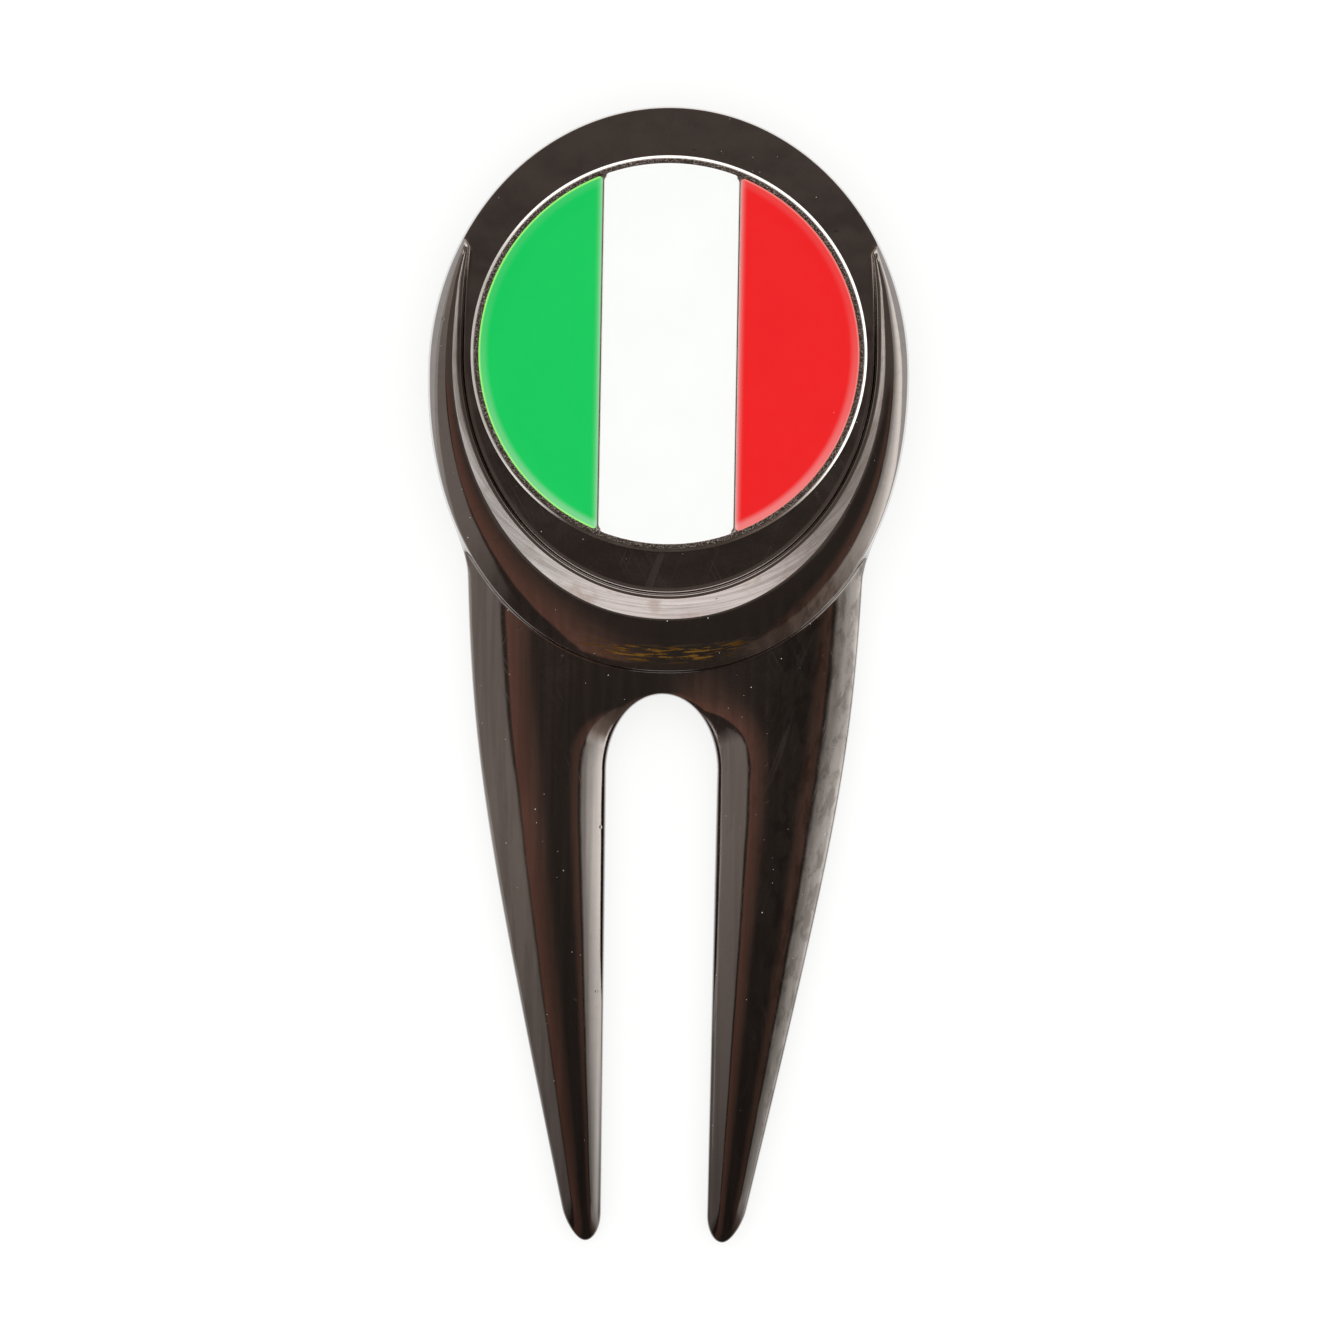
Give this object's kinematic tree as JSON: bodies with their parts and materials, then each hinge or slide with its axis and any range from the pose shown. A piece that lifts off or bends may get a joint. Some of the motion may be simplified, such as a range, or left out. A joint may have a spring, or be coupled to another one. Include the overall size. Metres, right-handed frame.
{
  "type": "divot repair tool with magnetic ball marker",
  "caption": "Flat cast fork with tapering prongs and an oval head whose raised crescent cradles a round banded ball marker held by a magnet.",
  "frame": {"origin": "on the plane of the flat back, under the middle of the tool's length and width", "axes": "+Z out of the face towards the marker, +Y along the tool towards the head, +X to the right seen from above"},
  "size_m": [0.0304, 0.0718, 0.0043],
  "materials": {
    "casting_plating": "polished black-nickel plating on a zinc casting",
    "magnet_plating": "dull nickel plating on a sintered magnet",
    "adhesive": "amber cured adhesive",
    "marker_plating": "bright nickel plating on stamped steel, with a darker fine-grained rim",
    "green_enamel": "glossy soft enamel, sunk below the rim",
    "white_enamel": "glossy soft enamel, sunk below the rim",
    "red_enamel": "glossy soft enamel, sunk below the rim"
  },
  "bodies": {
    "tool": {"tool_body": "casting_plating", "magnet": "magnet_plating", "magnet_adhesive": "adhesive"},
    "marker": {"marker_blank": "marker_plating", "enamel_green": "green_enamel", "enamel_white": "white_enamel", "enamel_red": "red_enamel"}
  },
  "joints": [
    {"name": "marker_lift", "type": "slide", "parent": "tool", "child": "marker", "axis": [0, 0, 1], "range_m": [0, 0.015]}
  ]
}
